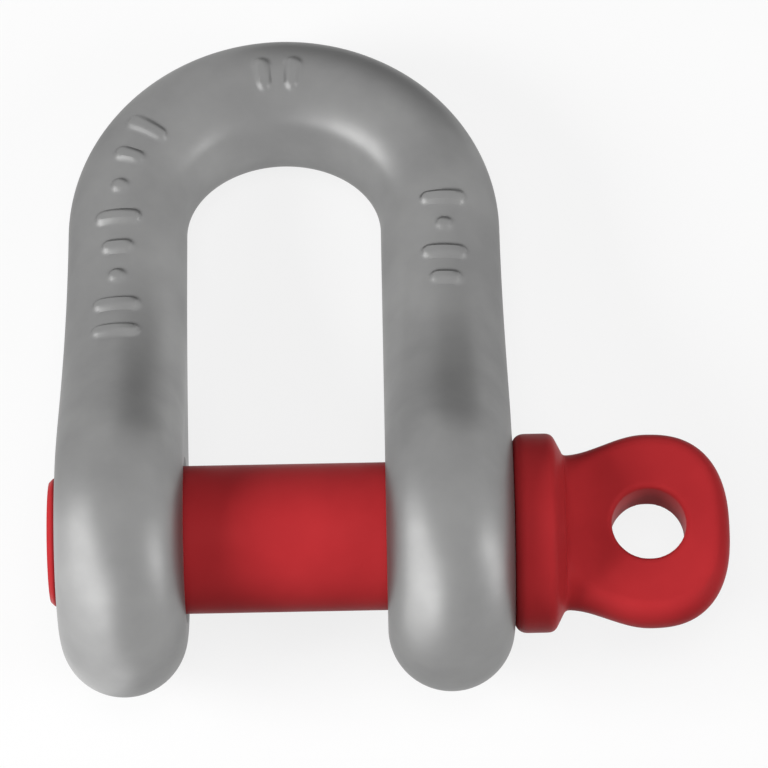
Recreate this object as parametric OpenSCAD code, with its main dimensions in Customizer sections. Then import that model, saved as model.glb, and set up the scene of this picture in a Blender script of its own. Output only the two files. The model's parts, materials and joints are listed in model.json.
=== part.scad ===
// Screw pin chain shackle: a forged D-shaped bow and the screw pin that closes it.
// Lengths are millimetres. The shackle lies at rest on both ears and on its crown.
// The origin is on the pin's axis, midway between the ears: +X runs along the pin
// towards its eye, +Y towards the crown, and +Z is up.

/* [Bow] */
// Diameter of the round bar where the legs bend into the crown
bar_d = 21.1; // [16:0.1:28]
// Diameter of the bar at the top of the crown
crown_bar_d = 22.5; // [16:0.1:30]
// Clear width between the ears and between the legs
jaw_w = 34.4; // [28:0.2:60]
// Distance from the pin's axis to the bar's centreline at the crown
crown_reach = 89.8; // [85:0.2:140]
// Outer diameter of the ears
ear_d = 53.6; // [46:0.2:64]
// Thickness of the ears, which have half-round rims
ear_t = 21.7; // [16:0.1:28]
// Radius of the hollow where a leg flares into its ear
neck_r = 70; // [30:1:80]
// Width of the chamfers at the mouths of the ears' holes
hole_chamfer = 0.8; // [0.4:0.1:1.2]
// Depth of the counterbore in the tapped ear, which takes the end of the shank
counterbore_t = 2; // [1.5:0.1:5]

/* [Pin] */
// Diameter of the shank
pin_d = 25.4; // [23.6:0.1:28]
// Radial clearance of the shank in the plain ear
pin_clearance = 0.85; // [0.2:0.05:1]
// Outer diameter of the thread
thread_d = 22; // [16:0.1:23.6]
// Radial clearance of the thread in the tapped ear
thread_clearance = 0.15; // [0.05:0.05:0.4]
// Gap between the shank's shoulder and the floor of the counterbore
shoulder_gap = 0.5; // [0.1:0.1:1.2]
// Length of threaded end that stands out past the tapped ear
thread_stand = 1.6; // [1:0.1:6]
// Chamfer at the free end of the thread and at the shank's shoulder
pin_chamfer = 0.7; // [0.3:0.1:0.9]

/* [Collar] */
// Diameter of the collar
collar_d = 34.2; // [31:0.2:44]
// Thickness of the collar from the ear to its outer face
collar_t = 8.7; // [7:0.1:14]
// Diameter of the collar's flat outer face
collar_face_d = 26.8; // [20:0.2:28]
// Angle of the slope from the collar's outer face to its rim
collar_slope = 27; // [10:1:40]
// Rounding of the rim on the ear's side
rim_inner_r = 2; // [0.5:0.1:2.5]
// Rounding of the rim on the eye's side
rim_outer_r = 1.6; // [0.5:0.1:2.5]

/* [Eye] */
// Distance from the collar's bearing face to the centre of the eye
eye_reach = 23.2; // [22:0.1:34]
// Diameter of the hole in the eye
eye_d = 12.7; // [8:0.1:17]
// Width of the chamfers at the mouths of the eye's hole
eye_chamfer = 0.6; // [0.2:0.1:1.2]
// Distance from the centre of the eye to the end of the tab
eye_end = 14; // [13:0.1:20]
// Width of the tab across the eye
tab_w = 34.4; // [28:0.2:42]
// Width of the tab where it leaves the collar
tab_root_w = 27.4; // [20:0.2:28]
// Thickness of the flat tab
tab_t = 9.6; // [6:0.2:14]
// Thickness of the tab where it leaves the collar
tab_root_t = 19; // [15:0.2:24]
// Length of the hollow between the collar and the flat of the tab
tab_hollow = 7; // [3:0.2:8]
// Width of the rounded edge round the tab
tab_edge = 3; // [1:0.1:4]

/* [Hidden] */
$fn = 96;
// How far a cutter reaches past the face that it cuts
past = 1;

// Bow: radii and places
bar_r = bar_d / 2;
crown_bar_r = crown_bar_d / 2;
ear_r = ear_d / 2;
rim_r = ear_t / 2;
// Radius of an ear's flat sides, inside its half-round rim
flat_r = ear_r - rim_r;
ear_inner_x = jaw_w / 2;
ear_outer_x = jaw_w / 2 + ear_t;
ear_x = jaw_w / 2 + rim_r;
bend_r = jaw_w / 2 + bar_r;
bend_z = crown_reach - bend_r;
// The hollow of the neck ends below the bend, by half the bar's radius at least
neck_limit_z = bend_z - bar_r / 2;
hollow_r = min(neck_r, (pow(neck_limit_z, 2) - pow(flat_r, 2)) / (2 * flat_r) - rim_r);
// The hollow ends at this height, and meets the ear's circle at the lower one
neck_top_z = sqrt(pow(flat_r, 2) + 2 * flat_r * (rim_r + hollow_r));
neck_foot_z = neck_top_z * ear_r / (ear_r + hollow_r);
// The ears' rims and the crown's underside touch one flat surface
lie_angle = asin((ear_r - crown_bar_r) / crown_reach);

// Bow: points round the bar, at half steps so that two lie in the middle plane
bar_sides = 38;
section_angles = [for (i = [0:bar_sides - 1]) 180 * (2 * i + 1) / bar_sides];
foot_rings = 7;
ear_rings = 20;
leg_rings = 1;
crown_rings = 26;

// Pin: radii and places along its axis
pin_r = pin_d / 2;
pin_hole_r = pin_r + pin_clearance;
thread_r = thread_d / 2;
thread_hole_r = thread_r + thread_clearance;
collar_r = collar_d / 2;
collar_face_r = collar_face_d / 2;
thread_end_x = -ear_outer_x - thread_stand;
shoulder_x = -ear_inner_x - counterbore_t + shoulder_gap;
collar_face_x = ear_outer_x + collar_t;
eye_x = ear_outer_x + eye_reach;
tab_start_x = ear_outer_x + collar_t / 2;

// Pin: centre of the rounding between the collar's rim and its slope
rim_outer_x = collar_face_x
    - (rim_outer_r + sin(collar_slope) * (collar_r - rim_outer_r - collar_face_r)) / cos(collar_slope);

// Tab: fullness of its round end, where 2 is an ellipse, and the points that follow it
end_fullness = 2.5;
root_steps = 10;
end_steps = 12;
edge_steps = 4;
arc_steps = 8;

function mix(a, b, t) = a + (b - a) * t;
function arc(x, y, r, from, to) =
    [for (i = [0:arc_steps]) let(a = mix(from, to, i / arc_steps)) [x + r * cos(a), y + r * sin(a)]];

// Half thickness of a leg at height z, which is the ear's beside the hole and the bar's at the bend
function leg_half_thickness(z) =
    let(u = min(max((z - flat_r) / (bend_z - flat_r), 0), 1))
    mix(rim_r, bar_r, u * u * (3 - 2 * u));

// Half depth of the flat between the round edges of a leg, at height z above the pin's axis:
// it follows the ear's circle, then the hollow of the neck, and ends in the plain bar
function flat_half_depth(z) =
    z >= neck_top_z ? 0 :
    z >= neck_foot_z ? hollow_r - sqrt(pow(hollow_r, 2) - pow(neck_top_z - z, 2)) :
    sqrt(pow(ear_r, 2) - z * z) - rim_r;

// Half depth of a leg at height z, where the round edge alone has half depth s: below the pin's axis
// the edge runs round the ear, and above it the edge is carried out by the flat
function leg_half_depth(s, z) =
    z < 0 ? sqrt(pow(flat_r + s, 2) - z * z) : s + flat_half_depth(z);

// Half width of a leg at height z, which closes in below the ear's flat sides
function leg_half_width(z) = z >= -flat_r ? leg_half_thickness(z) : sqrt(pow(rim_r, 2) - pow(z + flat_r, 2));

// Rings of points as [distance outwards from the inside of the bow, depth]
function leg_section(z) =
    let(r = leg_half_thickness(z))
    [for (a = section_angles)
        let(offset = leg_half_width(z) * cos(a))
        let(s = sqrt(r * r - offset * offset))
        [r + offset, sign(sin(a)) * leg_half_depth(s, z)]];
function crown_section(turn) =
    let(r = mix(bar_r, crown_bar_r, pow(sin(turn), 2)))
    [for (a = section_angles) [bar_r + r * cos(a), r * sin(a)]];

// Heights of a leg's rings, from above the ear's lowest point up to below the bend
leg_heights = concat(
    [for (i = [1:foot_rings - 1]) -flat_r - rim_r * cos(90 * i / foot_rings)],
    [for (i = [0:ear_rings]) mix(-flat_r, neck_top_z, i / ear_rings)],
    [for (i = [1:leg_rings]) mix(neck_top_z, bend_z, i / (leg_rings + 1))]);
last_ring = len(leg_heights) - 1;

// The bow stands here with its crown up: side is 1 for the plain ear and -1 for the tapped one
function leg_ring(side, z) = [for (p = leg_section(z)) [side * (ear_inner_x + p[0]), p[1], z]];
function crown_ring(turn) =
    [for (p = crown_section(turn))
        [(ear_inner_x + p[0]) * cos(turn), p[1], bend_z + (ear_inner_x + p[0]) * sin(turn)]];

bow_rings = concat(
    [for (z = leg_heights) leg_ring(1, z)],
    [for (i = [0:crown_rings]) crown_ring(180 * i / crown_rings)],
    [for (i = [0:last_ring]) leg_ring(-1, leg_heights[last_ring - i])]);

// A closed skin over rings of equal length, with a point at each end
module skin(rings, first_point, last_point) {
    n = len(rings[0]);
    last = len(rings) - 1;
    first_index = n * len(rings);
    function at(ring, i) = ring * n + i % n;
    first_fan = [for (i = [0:n - 1]) [first_index, at(0, i), at(0, i + 1)]];
    last_fan = [for (i = [0:n - 1]) [at(last, i), first_index + 1, at(last, i + 1)]];
    lower = [for (k = [0:last - 1]) for (i = [0:n - 1]) [at(k, i), at(k + 1, i), at(k + 1, i + 1)]];
    upper = [for (k = [0:last - 1]) for (i = [0:n - 1]) [at(k, i), at(k + 1, i + 1), at(k, i + 1)]];
    points = concat([for (ring = rings) each ring], [first_point, last_point]);
    polyhedron(points, concat(first_fan, lower, upper, last_fan), convexity = 6);
}

module along_x() {
    rotate([0, 90, 0]) children();
}

// Cutter for a round hole with chamfered mouths, from one face to the other
module hole(r, length, chamfer) {
    mouth_r = r + chamfer + past;
    rotate_extrude()
        polygon([[0, -past], [mouth_r, -past], [r, chamfer], [r, length - chamfer],
            [mouth_r, length + past], [0, length + past]]);
}

// Cutter for a flat-floored recess with a chamfered mouth
module recess(r, depth, chamfer) {
    mouth_r = r + chamfer + past;
    rotate_extrude()
        polygon([[0, 0], [r, 0], [r, depth - chamfer], [mouth_r, depth + past], [0, depth + past]]);
}

module bow_forging() {
    rotate([-90 - lie_angle, 0, 0])
        skin(bow_rings, [ear_x, 0, -ear_r], [-ear_x, 0, -ear_r]);
}

module shackle_bow() {
    color([0.56, 0.56, 0.56])
    difference() {
        bow_forging();
        translate([ear_inner_x, 0, 0]) along_x() hole(pin_hole_r, ear_t, hole_chamfer);
        translate([-ear_outer_x, 0, 0]) along_x() hole(thread_hole_r, ear_t, hole_chamfer);
        translate([-ear_inner_x - counterbore_t, 0, 0]) along_x() recess(pin_hole_r, counterbore_t, hole_chamfer);
    }
}

// Threaded end, shank and collar, turned on one axis
module turned_pin() {
    along_x()
    rotate_extrude()
    polygon(concat(
        [[0, thread_end_x], [thread_r - pin_chamfer, thread_end_x], [thread_r, thread_end_x + pin_chamfer],
            [thread_r, shoulder_x], [pin_r - pin_chamfer, shoulder_x], [pin_r, shoulder_x + pin_chamfer],
            [pin_r, ear_outer_x]],
        arc(collar_r - rim_inner_r, ear_outer_x + rim_inner_r, rim_inner_r, -90, 0),
        arc(collar_r - rim_outer_r, rim_outer_x, rim_outer_r, 0, 90 - collar_slope),
        [[collar_face_r, collar_face_x], [0, collar_face_x]]));
}

// Share of the root's thickness that is left at x: 1 inside the collar, 0 on the flat of the tab
function root_share(x) =
    let(u = min(max((x - collar_face_x) / tab_hollow, 0), 1))
    1 - sqrt(1 - pow(1 - u, 2));
function tab_half_thickness(x) = mix(tab_t, tab_root_t, root_share(x)) / 2;

// Half outline of the tab at an edge angle: 0 in its middle plane, 90 on its face
function side_point(x, edge) =
    let(u = min(max((x - collar_face_x) / (eye_x - collar_face_x), 0), 1))
    let(half_w = mix(tab_root_w, tab_w, (1 - cos(180 * u)) / 2) / 2)
    let(edge_w = mix(tab_edge, 0.9 * tab_root_w / 2, root_share(x)))
    [x, half_w - edge_w * (1 - cos(edge))];
function end_point(turn, edge) =
    let(inset = tab_edge * (1 - cos(edge)))
    [eye_x + (eye_end - inset) * pow(sin(turn), 2 / end_fullness),
        (tab_w / 2 - inset) * pow(cos(turn), 2 / end_fullness)];
function half_outline(edge) = concat(
    [for (i = [0:root_steps - 1]) side_point(mix(tab_start_x, eye_x, i / root_steps), edge)],
    [for (i = [0:end_steps]) end_point(90 * i / end_steps, edge)]);

// One closed ring of the tab, from its root along one side, round its end and back
function tab_ring(edge) =
    let(half = half_outline(abs(edge)))
    let(tip = len(half) - 1)
    let(outline = concat(
        [for (p = half) [p[0], -p[1]]],
        [for (i = [1:tip]) half[tip - i]]))
    [for (p = outline) [p[0], p[1], tab_half_thickness(p[0]) * sin(edge)]];

module tab() {
    rings = [for (i = [-edge_steps:edge_steps]) tab_ring(90 * i / edge_steps)];
    n = len(rings[0]);
    top = len(rings) - 1;
    tip = (n - 1) / 2;
    function at(ring, i) = ring * n + i;
    function across(ring, i) = ring * n + n - 1 - i;
    edge_faces = [for (k = [0:top - 1]) for (i = [0:n - 2])
        each [[at(k, i), at(k + 1, i), at(k + 1, i + 1)], [at(k, i), at(k + 1, i + 1), at(k, i + 1)]]];
    top_face = [for (i = [0:tip - 1])
        each concat([[at(top, i), across(top, i), across(top, i + 1)]],
            i == tip - 1 ? [] : [[at(top, i), across(top, i + 1), at(top, i + 1)]])];
    under_face = [for (i = [0:tip - 1])
        each concat([[across(0, i), at(0, i), across(0, i + 1)]],
            i == tip - 1 ? [] : [[at(0, i), at(0, i + 1), across(0, i + 1)]])];
    root_face = concat([for (k = [0:top]) across(k, 0)], [for (k = [0:top]) at(top - k, 0)]);
    polyhedron([for (ring = rings) each ring], concat(edge_faces, top_face, under_face, [root_face]),
        convexity = 4);
}

module screw_pin() {
    color([0.66, 0.16, 0.18])
    difference() {
        union() {
            turned_pin();
            tab();
        }
        translate([eye_x, 0, -tab_t / 2]) hole(eye_d / 2, tab_t, eye_chamfer);
    }
}

shackle_bow();
screw_pin();
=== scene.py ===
"""Looks of a screw pin chain shackle: a galvanised forged bow and a red painted screw pin.

Lengths are metres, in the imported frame: the origin lies on the pin's axis midway between the ears,
+X runs along the pin towards its eye, +Y towards the crown, and +Z is up.
"""

import json
import math

import bpy
import numpy as np
from mathutils import Matrix, Vector


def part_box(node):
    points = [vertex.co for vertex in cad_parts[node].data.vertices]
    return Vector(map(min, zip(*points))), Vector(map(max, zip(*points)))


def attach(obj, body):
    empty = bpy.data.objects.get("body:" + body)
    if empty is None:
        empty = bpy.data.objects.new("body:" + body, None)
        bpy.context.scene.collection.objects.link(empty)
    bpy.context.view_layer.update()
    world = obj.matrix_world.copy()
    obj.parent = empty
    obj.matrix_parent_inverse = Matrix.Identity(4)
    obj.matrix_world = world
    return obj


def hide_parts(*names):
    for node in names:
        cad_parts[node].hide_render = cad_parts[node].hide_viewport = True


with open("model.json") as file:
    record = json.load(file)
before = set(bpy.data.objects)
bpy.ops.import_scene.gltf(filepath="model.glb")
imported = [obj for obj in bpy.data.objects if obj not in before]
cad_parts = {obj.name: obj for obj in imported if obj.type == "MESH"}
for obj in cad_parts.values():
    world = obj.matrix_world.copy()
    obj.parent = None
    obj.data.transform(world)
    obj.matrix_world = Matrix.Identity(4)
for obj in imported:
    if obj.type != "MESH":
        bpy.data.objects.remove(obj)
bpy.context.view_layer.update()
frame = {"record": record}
MOUNTS = {mount["name"]: mount for mount in frame["record"]["mounts"]}
MM = 0.001

# Bow: round bar, crown, ears and necks
BAR_R = 10.55 * MM
CROWN_BAR_R = 11.25 * MM
JAW_W = 34.4 * MM
CROWN_REACH = 89.8 * MM
EAR_R = 26.8 * MM
EAR_T = 21.7 * MM
NECK_R = 70 * MM
HOLE_CHAMFER = 0.8 * MM
COUNTERBORE_T = 2 * MM

# Softer change from ear to neck: its reach each way, and how fast that grows above the pin's axis
NECK_EASE = 7 * MM
NECK_EASE_GROWTH = 0.5

# Pin: shank, collar and eye
PIN_R = MOUNTS["load_pin"]["dims"]["r_mm"] * MM
PIN_CLEARANCE = 0.85 * MM
PIN_CHAMFER = 0.7 * MM
PIN_FILLET = 0.6 * MM
SHOULDER_GAP = 0.5 * MM
COLLAR_R = 17.1 * MM
COLLAR_T = 8.7 * MM
COLLAR_FACE_R = 13.4 * MM
COLLAR_SLOPE = math.radians(27)
RIM_INNER_R = 2 * MM
RIM_OUTER_R = 1.6 * MM
EYE_X = MOUNTS["eye_hole"]["pos_m"][0]
EYE_R = MOUNTS["eye_hole"]["dims"]["r_mm"] * MM
EYE_CHAMFER = 0.6 * MM
EYE_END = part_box("screw_pin")[1].x - EYE_X
TAB_W = 34.4 * MM
TAB_ROOT_W = 27.4 * MM
TAB_T = 9.6 * MM
TAB_ROOT_T = 19 * MM
TAB_HOLLOW = 7 * MM
TAB_EDGE = 3 * MM
TAB_ROOT_EDGE = 0.45 * TAB_ROOT_W
TAB_END_FULLNESS = 2.5

# Thread: a metric profile, with its depth, crest and flanks as shares of the pitch
THREAD_R = 11 * MM
THREAD_PITCH = 2.5 * MM
DEPTH_SHARE = 0.6134
CREST_SHARE = 1 / 8
FLANK_SHARE = 5 / 8
THREAD_CLEARANCE = 0.12 * MM
THREAD_LEAD = 0.8 * MM
THREAD_RUN_IN = 2.5 * MM
THREAD_RUN_OUT = 4 * MM

# Plain raised marks on the bar, by their half lengths
LONG_MARK = 3.9 * MM
CROWN_MARK = 2.9 * MM
SHORT_MARK = 2.6 * MM
DOT_MARK = 1.3 * MM
MARK_HALF_WIDTH = 1.15 * MM
MARK_DRAFT = 0.55 * MM
MARK_HEIGHT = 0.75 * MM

# Groups of marks: place of the first along the bar from the middle of the crown, step to the next,
# place round the bar from its front, and the marks in order
MARK_GROUPS = (
    (-71.2 * MM, 6.3 * MM, 1.2 * MM,
     (LONG_MARK, LONG_MARK, DOT_MARK, SHORT_MARK, LONG_MARK, DOT_MARK, SHORT_MARK, LONG_MARK)),
    (43.2 * MM, 5.7 * MM, 0.6 * MM, (LONG_MARK, DOT_MARK, LONG_MARK, SHORT_MARK)),
    (-3.5 * MM, 5.5 * MM, -0.6 * MM, (CROWN_MARK, CROWN_MARK)),
)

# Sizes and places that follow from those
RIM_R = EAR_T / 2
FLAT_R = EAR_R - RIM_R
EAR_INNER_X = JAW_W / 2
EAR_OUTER_X = JAW_W / 2 + EAR_T
EAR_X = JAW_W / 2 + RIM_R
BEND_R = JAW_W / 2 + BAR_R
BEND_Z = CROWN_REACH - BEND_R
NECK_TOP_Z = math.sqrt(FLAT_R**2 + 2 * FLAT_R * (RIM_R + NECK_R))
NECK_FOOT_Z = NECK_TOP_Z * EAR_R / (EAR_R + NECK_R)
LIE_ANGLE = math.asin((EAR_R - CROWN_BAR_R) / CROWN_REACH)
PIN_HOLE_R = PIN_R + PIN_CLEARANCE
THREAD_DEPTH = DEPTH_SHARE * THREAD_PITCH
THREAD_END_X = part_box("screw_pin")[0].x
COUNTERBORE_X = -EAR_INNER_X - COUNTERBORE_T
SHOULDER_X = COUNTERBORE_X + SHOULDER_GAP
COLLAR_FACE_X = EAR_OUTER_X + COLLAR_T
COLLAR_MIDDLE_X = EAR_OUTER_X + COLLAR_T / 2
FLOOR_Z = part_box("shackle_bow")[0].z

# Mesh fineness
BAR_SIDES = 148
FOOT_RINGS = 22
EAR_RINGS = 58
LEG_RINGS = 84
CROWN_RINGS = 230
FINE_LEG_Z = 30 * MM
NECK_EASE_SAMPLES = 15
TURNED_SIDES = 144
THREAD_RINGS_PER_TURN = 12
ARC_STEPS = 12
TAB_SIDE_STEPS = 60
TAB_END_STEPS = 60
TAB_EDGE_STEPS = 10
VOXEL = 0.32 * MM
SMOOTHING_FACTOR = 0.5
SMOOTHING_STEPS = 8
SHARP_ANGLE = math.radians(32)

# How far a cutter reaches past the face that it cuts
PAST = 1 * MM


def mix(a, b, t):
    return a + (b - a) * t


def smooth_step(t):
    t = np.clip(t, 0, 1)
    return t * t * (3 - 2 * t)


# Meshes


def make_object(name, points, faces):
    mesh = bpy.data.meshes.new(name)
    mesh.from_pydata(points.tolist(), [], faces)
    mesh.validate()
    obj = bpy.data.objects.new(name, mesh)
    bpy.context.scene.collection.objects.link(obj)
    return obj


def walls_between(rings):
    """The point numbers of rings of equal length, and the faces from each ring to the next."""
    count, sides = rings.shape[:2]
    index = np.arange(count * sides).reshape(count, sides)
    after = np.roll(index, -1, axis=1)
    walls = np.stack([index[:-1], after[:-1], after[1:], index[1:]], axis=-1)
    return index, walls.reshape(-1, 4).tolist()


def skin(name, rings, first_point, last_point):
    """A closed skin over rings of equal length, with a point at each end."""
    index, walls = walls_between(rings)
    after = np.roll(index, -1, axis=1)
    first = index.size
    first_fan = [[first, b, a] for a, b in zip(index[0].tolist(), after[0].tolist())]
    last_fan = [[first + 1, a, b] for a, b in zip(index[-1].tolist(), after[-1].tolist())]
    points = np.vstack([rings.reshape(-1, 3), [first_point], [last_point]])
    return make_object(name, points, walls + first_fan + last_fan)


def turned(name, x, radius):
    """A closed skin turned about the X axis. The radius is one for each x, or one for each x and side."""
    turn = 2 * math.pi * np.arange(TURNED_SIDES) / TURNED_SIDES
    radius = np.broadcast_to(np.reshape(radius, (len(x), -1)), (len(x), TURNED_SIDES))
    along = np.broadcast_to(np.reshape(x, (-1, 1)), radius.shape)
    rings = np.stack([along, radius * np.cos(turn), radius * np.sin(turn)], axis=-1)
    return skin(name, rings, (x[0], 0, 0), (x[-1], 0, 0))


def hole_cutter(name, from_x, to_x, radius, chamfer):
    """A round cutter that chamfers both mouths of its hole."""
    mouth_r = radius + chamfer + PAST
    x = np.array([from_x - PAST, from_x + chamfer, to_x - chamfer, to_x + PAST])
    return turned(name, x, np.array([mouth_r, radius, radius, mouth_r]))


def combine(obj, other, operation):
    """Adds other to obj, or cuts it out, and removes other."""
    change = obj.modifiers.new(operation, "BOOLEAN")
    change.operation = operation
    change.solver = "MANIFOLD"
    change.object = other
    apply_modifiers(obj)
    bpy.data.objects.remove(other)


def apply_modifiers(obj):
    depsgraph = bpy.context.evaluated_depsgraph_get()
    shaped = bpy.data.meshes.new_from_object(obj.evaluated_get(depsgraph))
    obj.modifiers.clear()
    obj.data = shaped


def shade(obj, material):
    obj.data.materials.clear()
    obj.data.materials.append(material)
    obj.data.shade_smooth()
    obj.data.set_sharp_from_angle(angle=SHARP_ANGLE)


# Bow


def leg_half_thickness(z):
    """The ear's half thickness beside the hole, and the bar's at the bend."""
    return mix(RIM_R, BAR_R, smooth_step((z - FLAT_R) / (BEND_Z - FLAT_R)))


def flat_half_depth(z):
    """Half depth of the flat between the round edges: it follows the ear's circle, then the hollow of the
    neck, and ends in the plain bar."""
    circle = np.sqrt(np.maximum(EAR_R**2 - z**2, 0)) - RIM_R
    hollow = NECK_R - np.sqrt(NECK_R**2 - np.clip(NECK_TOP_Z - z, 0, NECK_R) ** 2)
    return np.where(z < NECK_FOOT_Z, circle, hollow)


def eased_half_depth(z):
    """The flat's half depth with a softer change from the ear's circle to the hollow."""
    reach = np.clip(NECK_EASE_GROWTH * z, 0, NECK_EASE)
    shares = np.linspace(-1, 1, NECK_EASE_SAMPLES)
    return np.mean([flat_half_depth(z + share * reach) for share in shares], axis=0)


def leg_half_depth(s, z):
    """Half depth at height z where the round edge alone has half depth s: below the pin's axis the edge
    runs round the ear, and above it the edge is carried out by the flat."""
    disc = np.sqrt(np.maximum((FLAT_R + s) ** 2 - z**2, 0))
    return np.where(z < 0, disc, s + eased_half_depth(z))


def leg_rings(side, heights, angles):
    """Rings of one leg of the standing bow, crown up, front towards -Y."""
    z = heights[:, None]
    r = leg_half_thickness(z)
    narrowed = np.sqrt(np.maximum(RIM_R**2 - (z + FLAT_R) ** 2, 0))
    offset = np.where(z >= -FLAT_R, r, narrowed) * np.cos(angles)
    s = np.sqrt(np.maximum(r**2 - offset**2, 0))
    depth = np.sign(np.sin(angles)) * leg_half_depth(s, z)
    x = side * (EAR_INNER_X + r + offset)
    return np.stack([x, depth, np.broadcast_to(z, x.shape)], axis=-1)


def crown_rings(turns, angles):
    turn = turns[:, None]
    r = mix(BAR_R, CROWN_BAR_R, np.sin(turn) ** 2)
    radius = BEND_R + r * np.cos(angles)
    return np.stack([radius * np.cos(turn), r * np.sin(angles), BEND_Z + radius * np.sin(turn)], axis=-1)


def mark_relief(along, around):
    """Height of the raised marks at places along and round the bar."""
    relief = np.zeros(np.broadcast(along, around).shape)
    for first, step, middle, half_lengths in MARK_GROUPS:
        for i, half_length in enumerate(half_lengths):
            reach = np.maximum(np.abs(around - middle) - (half_length - MARK_HALF_WIDTH), 0)
            gap = np.hypot(reach, along - first - i * step) - MARK_HALF_WIDTH
            relief = np.maximum(relief, MARK_HEIGHT * smooth_step(0.5 - gap / (2 * MARK_DRAFT)))
    return relief


def ring_normals(rings):
    around = np.roll(rings, -1, axis=1) - np.roll(rings, 1, axis=1)
    along = np.gradient(rings, axis=0)
    normals = np.cross(around, along)
    return normals / np.linalg.norm(normals, axis=-1, keepdims=True)


def lay_down(points):
    """From the standing bow to the one that lies on its ears and crown."""
    turn = Matrix.Rotation(-math.pi / 2 - LIE_ANGLE, 3, "X")
    return points @ np.array(turn).T


def bow_skin():
    angles = math.pi * (2 * np.arange(BAR_SIDES) + 1) / BAR_SIDES
    foot = -FLAT_R - RIM_R * np.cos(math.pi / 2 * np.arange(1, FOOT_RINGS) / FOOT_RINGS)
    ear = np.linspace(-FLAT_R, FINE_LEG_Z, EAR_RINGS, endpoint=False)
    leg = np.linspace(FINE_LEG_Z, BEND_Z, LEG_RINGS, endpoint=False)
    heights = np.concatenate([foot, ear, leg])
    turns = np.linspace(0, math.pi, CROWN_RINGS + 1)
    rings = np.concatenate([leg_rings(1, heights, angles), crown_rings(turns, angles),
                            leg_rings(-1, heights[::-1], angles)])
    leg_path = BEND_R * math.pi / 2 + BEND_Z - heights
    path = np.concatenate([leg_path, BEND_R * (math.pi / 2 - turns), -leg_path[::-1]])
    front_angle = 1.5 * math.pi
    from_front = BAR_R * (angles - front_angle)
    rings = rings + ring_normals(rings) * mark_relief(path[:, None], from_front)[..., None]
    poles = np.array([[EAR_X, 0, -EAR_R], [-EAR_X, 0, -EAR_R]])
    return skin("bow_forging", lay_down(rings), *lay_down(poles))


def thread_radius(x, clearance):
    """Radius of the thread's surface at each x and side. It is right-handed and runs out at both ends."""
    turn = np.arange(TURNED_SIDES) / TURNED_SIDES
    place = np.mod(x[:, None] / THREAD_PITCH - turn, 1)
    from_crest = np.abs(place - 0.5) * 2
    groove = np.clip((from_crest - CREST_SHARE) / FLANK_SHARE, 0, 1)
    run_in = smooth_step((x[:, None] - THREAD_END_X - THREAD_LEAD) / THREAD_RUN_IN)
    run_out = smooth_step((SHOULDER_X - x[:, None]) / THREAD_RUN_OUT)
    return THREAD_R + clearance - THREAD_DEPTH * groove * run_in * run_out


def thread_places(from_x, to_x):
    count = math.ceil((to_x - from_x) / THREAD_PITCH * THREAD_RINGS_PER_TURN)
    return np.linspace(from_x, to_x, count)


def tapped_cutter():
    x = thread_places(-EAR_OUTER_X - PAST, -EAR_INNER_X)
    return turned("tapped_cutter", x, thread_radius(x, THREAD_CLEARANCE))


def mouth_cutter():
    """The chamfer at the outer mouth of the tapped hole."""
    x = np.array([-EAR_OUTER_X - PAST, -EAR_OUTER_X + THREAD_DEPTH + HOLE_CHAMFER])
    return turned("mouth_cutter", x, np.array([THREAD_R + HOLE_CHAMFER + PAST, THREAD_R - THREAD_DEPTH]))


def counterbore_cutter():
    x = np.array([COUNTERBORE_X, -EAR_INNER_X - HOLE_CHAMFER, -EAR_INNER_X + PAST])
    return turned("counterbore_cutter", x,
                  np.array([PIN_HOLE_R, PIN_HOLE_R, PIN_HOLE_R + HOLE_CHAMFER + PAST]))


def bow_forging():
    bow = bow_skin()
    plain_cutter = hole_cutter("plain_cutter", EAR_INNER_X, EAR_OUTER_X, PIN_HOLE_R, HOLE_CHAMFER)
    for cutter in (plain_cutter, tapped_cutter(), mouth_cutter(), counterbore_cutter()):
        combine(bow, cutter, "DIFFERENCE")
    return bow


# Pin


def arc(x, r, radius, start, end):
    """Points of a rounding in the plane of the axis, as [x, r], with angles from the outward direction."""
    angle = np.linspace(start, end, ARC_STEPS)
    return np.stack([x + radius * np.sin(angle), r + radius * np.cos(angle)], axis=-1)


def threaded_shank():
    """The threaded end and the shank, into the collar."""
    x = thread_places(THREAD_END_X, SHOULDER_X)
    chamfer = THREAD_R - PIN_CHAMFER + x[:, None] - THREAD_END_X
    thread = np.minimum(thread_radius(x, 0), chamfer)
    plain = np.concatenate([
        [[SHOULDER_X, PIN_R - PIN_CHAMFER], [SHOULDER_X + PIN_CHAMFER, PIN_R]],
        arc(EAR_OUTER_X - PIN_FILLET, PIN_R + PIN_FILLET, PIN_FILLET, math.pi, math.pi / 2),
        [[COLLAR_MIDDLE_X, PIN_R + PIN_FILLET]]])
    shank = np.broadcast_to(plain[:, 1:], (len(plain), TURNED_SIDES))
    return turned("pin_forging", np.concatenate([x, plain[:, 0]]), np.concatenate([thread, shank]))


def collar():
    rim_x = COLLAR_FACE_X - (RIM_OUTER_R + math.sin(COLLAR_SLOPE)
                             * (COLLAR_R - RIM_OUTER_R - COLLAR_FACE_R)) / math.cos(COLLAR_SLOPE)
    profile = np.concatenate([
        arc(EAR_OUTER_X + RIM_INNER_R, COLLAR_R - RIM_INNER_R, RIM_INNER_R, -math.pi / 2, 0),
        arc(rim_x, COLLAR_R - RIM_OUTER_R, RIM_OUTER_R, 0, math.pi / 2 - COLLAR_SLOPE),
        [[COLLAR_FACE_X, COLLAR_FACE_R]]])
    return turned("pin_head", profile[:, 0], profile[:, 1])


def root_share(x):
    """Share of the root's thickness left at x: 1 inside the collar, 0 on the flat of the tab."""
    u = np.clip((x - COLLAR_FACE_X) / TAB_HOLLOW, 0, 1)
    return 1 - np.sqrt(1 - (1 - u) ** 2)


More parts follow.
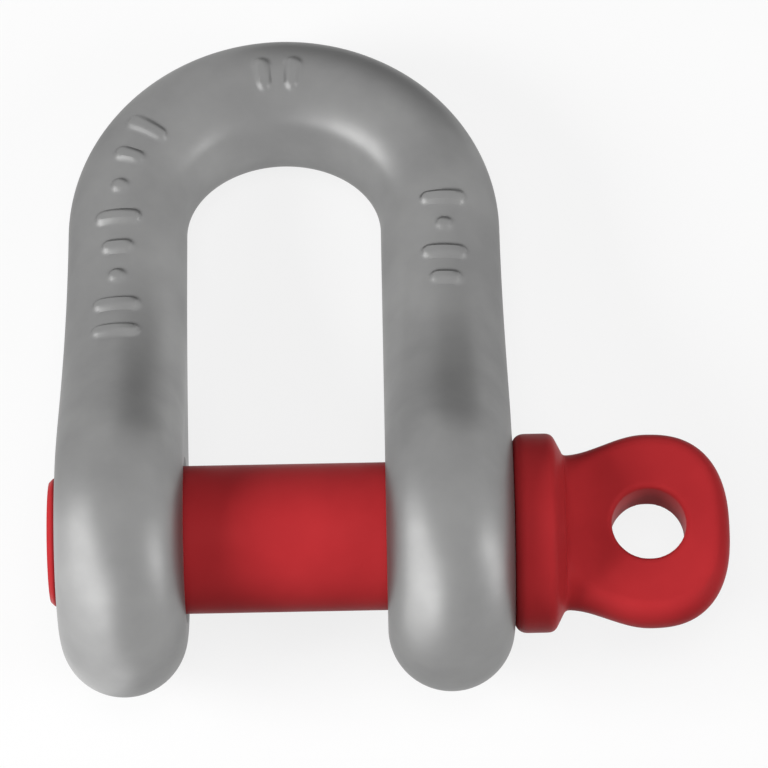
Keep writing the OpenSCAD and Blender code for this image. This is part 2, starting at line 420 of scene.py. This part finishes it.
def tab_half_outline(edge):
    """Half outline of the tab at an edge angle: 0 in its middle plane, and a quarter turn on its face."""
    inset = 1 - math.cos(edge)
    x = np.linspace(COLLAR_MIDDLE_X, EYE_X, TAB_SIDE_STEPS, endpoint=False)
    u = np.clip((x - COLLAR_FACE_X) / (EYE_X - COLLAR_FACE_X), 0, 1)
    half_w = mix(TAB_ROOT_W, TAB_W, (1 - np.cos(math.pi * u)) / 2) / 2
    edge_w = mix(TAB_EDGE, TAB_ROOT_EDGE, root_share(x))
    side = np.stack([x, half_w - edge_w * inset], axis=-1)
    turn = np.linspace(0, math.pi / 2, TAB_END_STEPS)
    power = 2 / TAB_END_FULLNESS
    end = np.stack([EYE_X + (EYE_END - TAB_EDGE * inset) * np.abs(np.sin(turn)) ** power,
                    (TAB_W / 2 - TAB_EDGE * inset) * np.abs(np.cos(turn)) ** power], axis=-1)
    return np.concatenate([side, end])


def tab():
    """Rings from the tab's lower face round its edge to the upper one, and strips across both faces."""
    rings = []
    for edge in np.linspace(-math.pi / 2, math.pi / 2, 2 * TAB_EDGE_STEPS + 1):
        half = tab_half_outline(abs(edge))
        outline = np.concatenate([half * (1, -1), half[-2::-1]])
        half_t = mix(TAB_T, TAB_ROOT_T, root_share(outline[:, 0])) / 2
        rings.append(np.column_stack([outline, half_t * math.sin(edge)]))
    rings = np.array(rings)
    index, walls = walls_between(rings)
    sides = index.shape[1]
    strips = []
    for ring, order in ((index[-1].tolist(), 1), (index[0].tolist(), -1)):
        for i in range(sides // 2):
            strip = [ring[i], ring[i + 1], ring[sides - 2 - i], ring[sides - 1 - i]]
            # The strip at the tip has three corners
            strips.append(list(dict.fromkeys(strip))[::order])
    return make_object("tab", rings.reshape(-1, 3), walls + strips)


def eye_cutter():
    cutter = hole_cutter("eye_cutter", -TAB_T / 2, TAB_T / 2, EYE_R, EYE_CHAMFER)
    cutter.data.transform(Matrix.Translation((EYE_X, 0, 0)) @ Matrix.Rotation(-math.pi / 2, 4, "Y"))
    return cutter


def soften(obj):
    """Rounds all edges and corners a little, as a forging's are under paint."""
    remesh = obj.modifiers.new("remesh", "REMESH")
    remesh.mode = "VOXEL"
    remesh.voxel_size = VOXEL
    smooth = obj.modifiers.new("smooth", "SMOOTH")
    smooth.factor = SMOOTHING_FACTOR
    smooth.iterations = SMOOTHING_STEPS
    apply_modifiers(obj)


def pin_forging():
    head = collar()
    combine(head, tab(), "UNION")
    combine(head, eye_cutter(), "DIFFERENCE")
    soften(head)
    pin = threaded_shank()
    combine(pin, head, "UNION")
    return pin


# Materials: colour and roughness go from dark to pale patches with a noise, over its middle range

NOISE_RANGE = (0.3, 0.7)
ZINC_DARK = (0.25, 0.25, 0.25, 1)
ZINC_PALE = (0.30, 0.30, 0.298, 1)
ZINC_ROUGHNESS = (0.46, 0.38)
ZINC_EDGE_TINT = (0.72, 0.72, 0.72, 1)
PAINT_DARK = (0.37, 0.022, 0.026, 1)
PAINT_PALE = (0.42, 0.026, 0.030, 1)
PAINT_ROUGHNESS = (0.42, 0.36)
PAINT_SPECULAR = 0.02


def new_material(name):
    material = bpy.data.materials.new(name)
    material.use_nodes = True
    nodes = material.node_tree.nodes
    return material, nodes, material.node_tree.links, nodes["Principled BSDF"]


def noise(nodes, links, scale, detail):
    """A noise texture over the object's own coordinates, with its scale in features per metre."""
    place = nodes.new("ShaderNodeTexCoord")
    texture = nodes.new("ShaderNodeTexNoise")
    texture.inputs["Scale"].default_value = scale
    texture.inputs["Detail"].default_value = detail
    links.new(place.outputs["Object"], texture.inputs["Vector"])
    return texture.outputs["Fac"]


def remap(nodes, links, value, low, high, start=0, end=1):
    """Maps start to low and end to high, and holds those values beyond."""
    node = nodes.new("ShaderNodeMapRange")
    node.inputs["From Min"].default_value = start
    node.inputs["From Max"].default_value = end
    node.inputs["To Min"].default_value = low
    node.inputs["To Max"].default_value = high
    links.new(value, node.inputs["Value"])
    return node.outputs["Result"]


def blend_colours(nodes, links, value, first, second):
    ramp = nodes.new("ShaderNodeValToRGB")
    for stop, position, colour in zip(ramp.color_ramp.elements, NOISE_RANGE, (first, second)):
        stop.position = position
        stop.color = colour
    links.new(value, ramp.inputs["Fac"])
    return ramp.outputs["Color"]


def bump(nodes, links, height, distance, strength, under=None):
    node = nodes.new("ShaderNodeBump")
    node.inputs["Distance"].default_value = distance
    node.inputs["Strength"].default_value = strength
    links.new(height, node.inputs["Height"])
    if under is not None:
        links.new(under, node.inputs["Normal"])
    return node.outputs["Normal"]


def galvanised_steel():
    material, nodes, links, shader = new_material("galvanised_steel")
    patches = noise(nodes, links, scale=70, detail=4)
    colour = blend_colours(nodes, links, patches, ZINC_DARK, ZINC_PALE)
    roughness = remap(nodes, links, patches, *ZINC_ROUGHNESS, *NOISE_RANGE)
    waves = bump(nodes, links, noise(nodes, links, scale=160, detail=2), distance=0.06 * MM, strength=0.5)
    grain = noise(nodes, links, scale=900, detail=3)
    relief = bump(nodes, links, grain, distance=0.02 * MM, strength=0.4, under=waves)
    links.new(colour, shader.inputs["Base Color"])
    links.new(roughness, shader.inputs["Roughness"])
    links.new(relief, shader.inputs["Normal"])
    shader.inputs["Metallic"].default_value = 1
    shader.inputs["Specular Tint"].default_value = ZINC_EDGE_TINT
    return material


def red_paint():
    material, nodes, links, shader = new_material("red_paint")
    patches = noise(nodes, links, scale=90, detail=3)
    colour = blend_colours(nodes, links, patches, PAINT_DARK, PAINT_PALE)
    roughness = remap(nodes, links, patches, *PAINT_ROUGHNESS, *NOISE_RANGE)
    peel = bump(nodes, links, noise(nodes, links, scale=700, detail=2), distance=0.02 * MM, strength=0.4)
    links.new(colour, shader.inputs["Base Color"])
    links.new(roughness, shader.inputs["Roughness"])
    links.new(peel, shader.inputs["Normal"])
    shader.inputs["Specular IOR Level"].default_value = PAINT_SPECULAR
    return material


# Floor and world: their white where they are seen or mirrored, and the little light that they give

FLOOR_HALF_W = 5
FLOOR_ALBEDO = 0.72
FLOOR_BOUNCE = 0.12
FLOOR_WHITE_SHARE = 0.82
FLOOR_ROUGHNESS = 0.9
WORLD_LIGHT = 0.15


def seen_or_mirrored(nodes, links):
    """1 for what the camera sees directly, mirrored or through glass, and 0 for light on surfaces."""
    path = nodes.new("ShaderNodeLightPath")
    seen = path.outputs["Is Camera Ray"]
    for kind in ("Is Glossy Ray", "Is Transmission Ray"):
        either = nodes.new("ShaderNodeMath")
        either.operation = "MAXIMUM"
        links.new(seen, either.inputs[0])
        links.new(path.outputs[kind], either.inputs[1])
        seen = either.outputs[0]
    return seen


def floor():
    square = ((-1, -1), (1, -1), (1, 1), (-1, 1))
    corners = np.array([[x * FLOOR_HALF_W, y * FLOOR_HALF_W, FLOOR_Z] for x, y in square])
    plane = make_object("floor", corners, [[0, 1, 2, 3]])
    material, nodes, links, shader = new_material("pale_floor")
    seen = seen_or_mirrored(nodes, links)
    links.new(remap(nodes, links, seen, FLOOR_BOUNCE, FLOOR_ALBEDO), shader.inputs["Base Color"])
    shader.inputs["Roughness"].default_value = FLOOR_ROUGHNESS
    shader.inputs["Specular IOR Level"].default_value = 0
    white = nodes.new("ShaderNodeEmission")
    blend = nodes.new("ShaderNodeMixShader")
    links.new(remap(nodes, links, seen, 0, FLOOR_WHITE_SHARE), blend.inputs["Fac"])
    links.new(shader.outputs["BSDF"], blend.inputs[1])
    links.new(white.outputs["Emission"], blend.inputs[2])
    links.new(blend.outputs["Shader"], nodes["Material Output"].inputs["Surface"])
    plane.data.materials.append(material)


def studio_world():
    world = bpy.data.worlds.new("studio")
    world.use_nodes = True
    nodes = world.node_tree.nodes
    links = world.node_tree.links
    background = nodes["Background"]
    background.inputs["Color"].default_value = (1, 1, 1, 1)
    strength = remap(nodes, links, seen_or_mirrored(nodes, links), WORLD_LIGHT, 1)
    links.new(strength, background.inputs["Strength"])
    bpy.context.scene.world = world


# Cards and lamps: the metal mirrors the cards, and the lamps light all surfaces without being mirrored

CARD_FAR = 0.5
CARD_LIFT = 1 * MM
JAW_CARD_INSET = 1.5 * MM
JAW_CARD_GAP = 3.5 * MM
JAW_CARD_STEPS = 40
JAW_CARD_GLOW = 1
LAMP_W = 0.4


def compass(azimuth, elevation=0):
    """Direction from the shackle. Azimuths are in degrees from the crown's side, positive to the right."""
    turn = math.radians(azimuth)
    rise = math.radians(elevation)
    return Vector((math.sin(turn) * math.cos(rise), math.cos(turn) * math.cos(rise), math.sin(rise)))


def show_mirrored(card, low_glow, high_glow, rise=1):
    """Makes a card glow, more up to a share of its height, and show in mirror images alone."""
    material, nodes, links, _ = new_material(card.name)
    place = nodes.new("ShaderNodeTexCoord")
    axes = nodes.new("ShaderNodeSeparateXYZ")
    links.new(place.outputs["Generated"], axes.inputs["Vector"])
    glow = nodes.new("ShaderNodeEmission")
    strength = remap(nodes, links, axes.outputs["Z"], low_glow, high_glow, end=rise)
    links.new(strength, glow.inputs["Strength"])
    links.new(glow.outputs["Emission"], nodes["Material Output"].inputs["Surface"])
    card.data.materials.append(material)
    card.visible_camera = False
    card.visible_diffuse = False
    card.visible_shadow = False


def bent_card(name, sides, near, height, low_glow, high_glow, rise=1):
    """A card on the floor between two azimuths, bent up at its far end."""
    floor_level = Vector((0, 0, FLOOR_Z + CARD_LIFT))
    front = [compass(side) * near + floor_level for side in sides]
    back = [compass(side) * CARD_FAR + floor_level for side in sides]
    top = [corner + Vector((0, 0, height)) for corner in back]
    card = make_object(name, np.array(front + back + top), [[0, 1, 3, 2], [2, 3, 5, 4]])
    show_mirrored(card, low_glow, high_glow, rise)


def jaw_cards():
    """White cards inside the bow: a ring along its legs, its crown and the pin, and a disc between its
    ears. Its inner sides mirror them and not each other."""
    ring_r = JAW_W / 2 - JAW_CARD_GAP
    turn = np.linspace(0, math.pi, JAW_CARD_STEPS)
    leg_z = np.linspace(PIN_R + JAW_CARD_GAP, BEND_Z, JAW_CARD_STEPS, endpoint=False)
    straight = np.ones(JAW_CARD_STEPS)
    x = ring_r * np.concatenate([straight, np.cos(turn), -straight])
    z = np.concatenate([leg_z, BEND_Z + ring_r * np.sin(turn), leg_z[::-1]])
    half_d = leg_half_depth(leg_half_thickness(z), z) - JAW_CARD_INSET
    edges = np.array([np.stack([x, side * half_d, z], axis=-1) for side in (-1, 1)])
    index, walls = walls_between(edges)
    around = 2 * turn[:-1]
    disc = (EAR_R - JAW_CARD_INSET) * np.stack([0 * around, np.sin(around), np.cos(around)], axis=-1)
    disc_face = [index.size + i for i in range(len(disc))]
    points = np.vstack([edges.reshape(-1, 3), disc])
    card = make_object("jaw_cards", lay_down(points), walls + [disc_face])
    show_mirrored(card, JAW_CARD_GLOW, JAW_CARD_GLOW)


def soft_light(name, azimuth, elevation, distance, power):
    lamp = bpy.data.lights.new(name, "AREA")
    lamp.shape = "SQUARE"
    lamp.size = LAMP_W
    lamp.energy = power
    obj = bpy.data.objects.new(name, lamp)
    toward = compass(azimuth, elevation)
    obj.location = toward * distance
    obj.rotation_euler = (-toward).to_track_quat("-Z", "Y").to_euler()
    obj.visible_glossy = False
    bpy.context.scene.collection.objects.link(obj)


# Camera: lens and sensor are in millimetres

CAMERA_TARGET = Vector((17.26 * MM, 30.0 * MM, -5.27 * MM))
CAMERA_DISTANCE = 0.9
CAMERA_ELEVATION = math.radians(68.97)
CAMERA_ROLL = math.radians(-1.1)
CAMERA_LENS = 241.5
CAMERA_SENSOR = 36
CAMERA_NEAR = 0.05
CAMERA_FAR = 20


def camera():
    data = bpy.data.cameras.new("camera")
    data.lens = CAMERA_LENS
    data.sensor_width = CAMERA_SENSOR
    data.clip_start = CAMERA_NEAR
    data.clip_end = CAMERA_FAR
    obj = bpy.data.objects.new("camera", data)
    back = Vector((0, -math.cos(CAMERA_ELEVATION), math.sin(CAMERA_ELEVATION)))
    aim = (-back).to_track_quat("-Z", "Y").to_matrix().to_4x4()
    obj.matrix_world = (Matrix.Translation(CAMERA_TARGET + back * CAMERA_DISTANCE) @ aim
                        @ Matrix.Rotation(CAMERA_ROLL, 4, "Z"))
    bpy.context.scene.collection.objects.link(obj)
    bpy.context.scene.camera = obj


bow = bow_forging()
shade(bow, galvanised_steel())
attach(bow, "bow")
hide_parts("shackle_bow")

pin = pin_forging()
shade(pin, red_paint())
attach(pin, "pin")
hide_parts("screw_pin")

floor()
studio_world()
bent_card("left_card", sides=(-164, -76), near=0.06, height=0.40, low_glow=1.8, high_glow=2.5, rise=0.15)
bent_card("right_card", sides=(97, 113), near=0.16, height=0.33, low_glow=2.6, high_glow=3.1, rise=0.2)
bent_card("back_card", sides=(-5, 31), near=0.13, height=0.35, low_glow=0.38, high_glow=1)
jaw_cards()
soft_light("key", azimuth=-105, elevation=34, distance=0.9, power=9.6)
soft_light("front", azimuth=180, elevation=78, distance=1.0, power=3.2)
soft_light("fill", azimuth=110, elevation=30, distance=0.9, power=3.6)
camera()
bpy.context.scene.view_settings.view_transform = "Standard"
